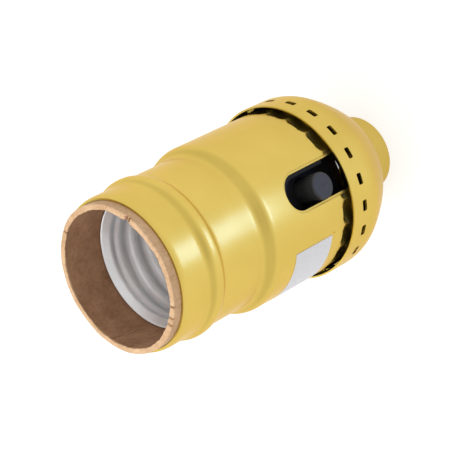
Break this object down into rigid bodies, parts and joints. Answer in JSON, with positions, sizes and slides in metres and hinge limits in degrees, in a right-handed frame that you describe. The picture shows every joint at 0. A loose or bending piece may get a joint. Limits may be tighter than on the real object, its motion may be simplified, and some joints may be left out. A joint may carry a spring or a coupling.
{
  "type": "lamp holder",
  "caption": "Edison-screw lamp holder with a pressed metal shell and cap, paper liner and push-through switch bar.",
  "frame": {"origin": "centre of the neck's end face, at the mouth of the pipe thread", "axes": "+Z along the holder's axis from the neck to the lamp mouth; -Y towards the flush end of the switch bar"},
  "size_m": [0.0386, 0.0439, 0.0756],
  "materials": {
    "gilt_metal": "satin gilt",
    "paper": "pressed paper",
    "black_moulding": "moulded phenolic",
    "black_bar": "moulded",
    "thread_metal": "rolled",
    "brass_strip": "bright",
    "plated_steel": "nickel plated",
    "silver_button": "silver face",
    "label_paper": "blank white label"
  },
  "bodies": {
    "holder": {"cap": "gilt_metal", "neck_bush": "brass_strip", "neck_set_screw": "plated_steel", "shell": "gilt_metal", "shell_liner": "paper", "blank_label": "label_paper", "insulator_block": "black_moulding", "insulator_cover": "black_moulding", "screw_shell": "thread_metal", "centre_contact": "brass_strip", "centre_rivet": "brass_strip", "line_strip": "brass_strip", "blade_button": "silver_button", "neutral_strip": "plated_steel", "rocker_pin": "plated_steel", "body_screw_left": "plated_steel", "body_screw_right": "plated_steel", "terminal_screw_line": "brass_strip", "terminal_screw_neutral": "plated_steel"},
    "switch_bar": {"push_bar": "black_bar"},
    "rocker": {"contact_rocker": "brass_strip"}
  },
  "joints": [
    {"name": "bar_slide", "type": "slide", "parent": "holder", "child": "switch_bar", "axis": [0, -1, 0], "range_m": [0, 0.006]},
    {"name": "rocker_hinge", "type": "hinge", "parent": "holder", "child": "rocker", "pos_m": [0, 0, 0.0406], "axis": [-1, 0, 0], "range_deg": [0, 57.5]}
  ],
  "couplings": [
    {"joint": "rocker_hinge", "follows": "bar_slide", "rad_per_m": 165.4}
  ]
}
